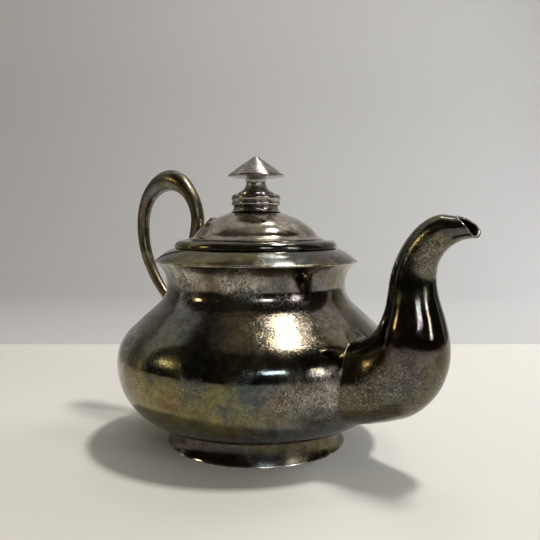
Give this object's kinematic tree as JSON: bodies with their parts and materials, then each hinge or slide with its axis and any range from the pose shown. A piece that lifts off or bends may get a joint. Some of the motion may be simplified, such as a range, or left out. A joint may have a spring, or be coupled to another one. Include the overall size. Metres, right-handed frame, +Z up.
{
  "type": "teapot",
  "caption": "Small round-bellied silver teapot with a splayed foot, flared neck, stepped shoulder, hinged domed lid with a turned finial, curved spout and loop handle.",
  "frame": {"origin": "centre of the foot's underside, on the table", "axes": "+Z up, +X towards the spout, -X towards the handle"},
  "size_m": [0.1714, 0.114, 0.1173],
  "materials": {
    "silver": "polished silver with a thin tarnish",
    "dark_silver": "unpolished, tarnished silver"
  },
  "bodies": {
    "pot": {"bowl": "silver", "upper_body": "silver", "foot_ring": "silver", "rim_wire": "silver", "shoulder": "silver", "lid_seat": "silver", "spout": "silver", "handle": "silver", "hinge_plate": "dark_silver", "hinge_pin": "dark_silver"},
    "lid": {"lid_shell": "silver", "lid_bezel": "silver", "hinge_leaf": "dark_silver", "finial_base": "silver", "finial_stem": "silver", "finial_cap": "silver", "finial_stud": "dark_silver", "finial_washer": "dark_silver", "finial_nut": "dark_silver"}
  },
  "joints": [
    {"name": "lid_hinge", "type": "hinge", "parent": "pot", "child": "lid", "pos_m": [-0.0268, 0, 0.0854], "axis": [0, -1, 0], "range_deg": [0, 62]}
  ]
}
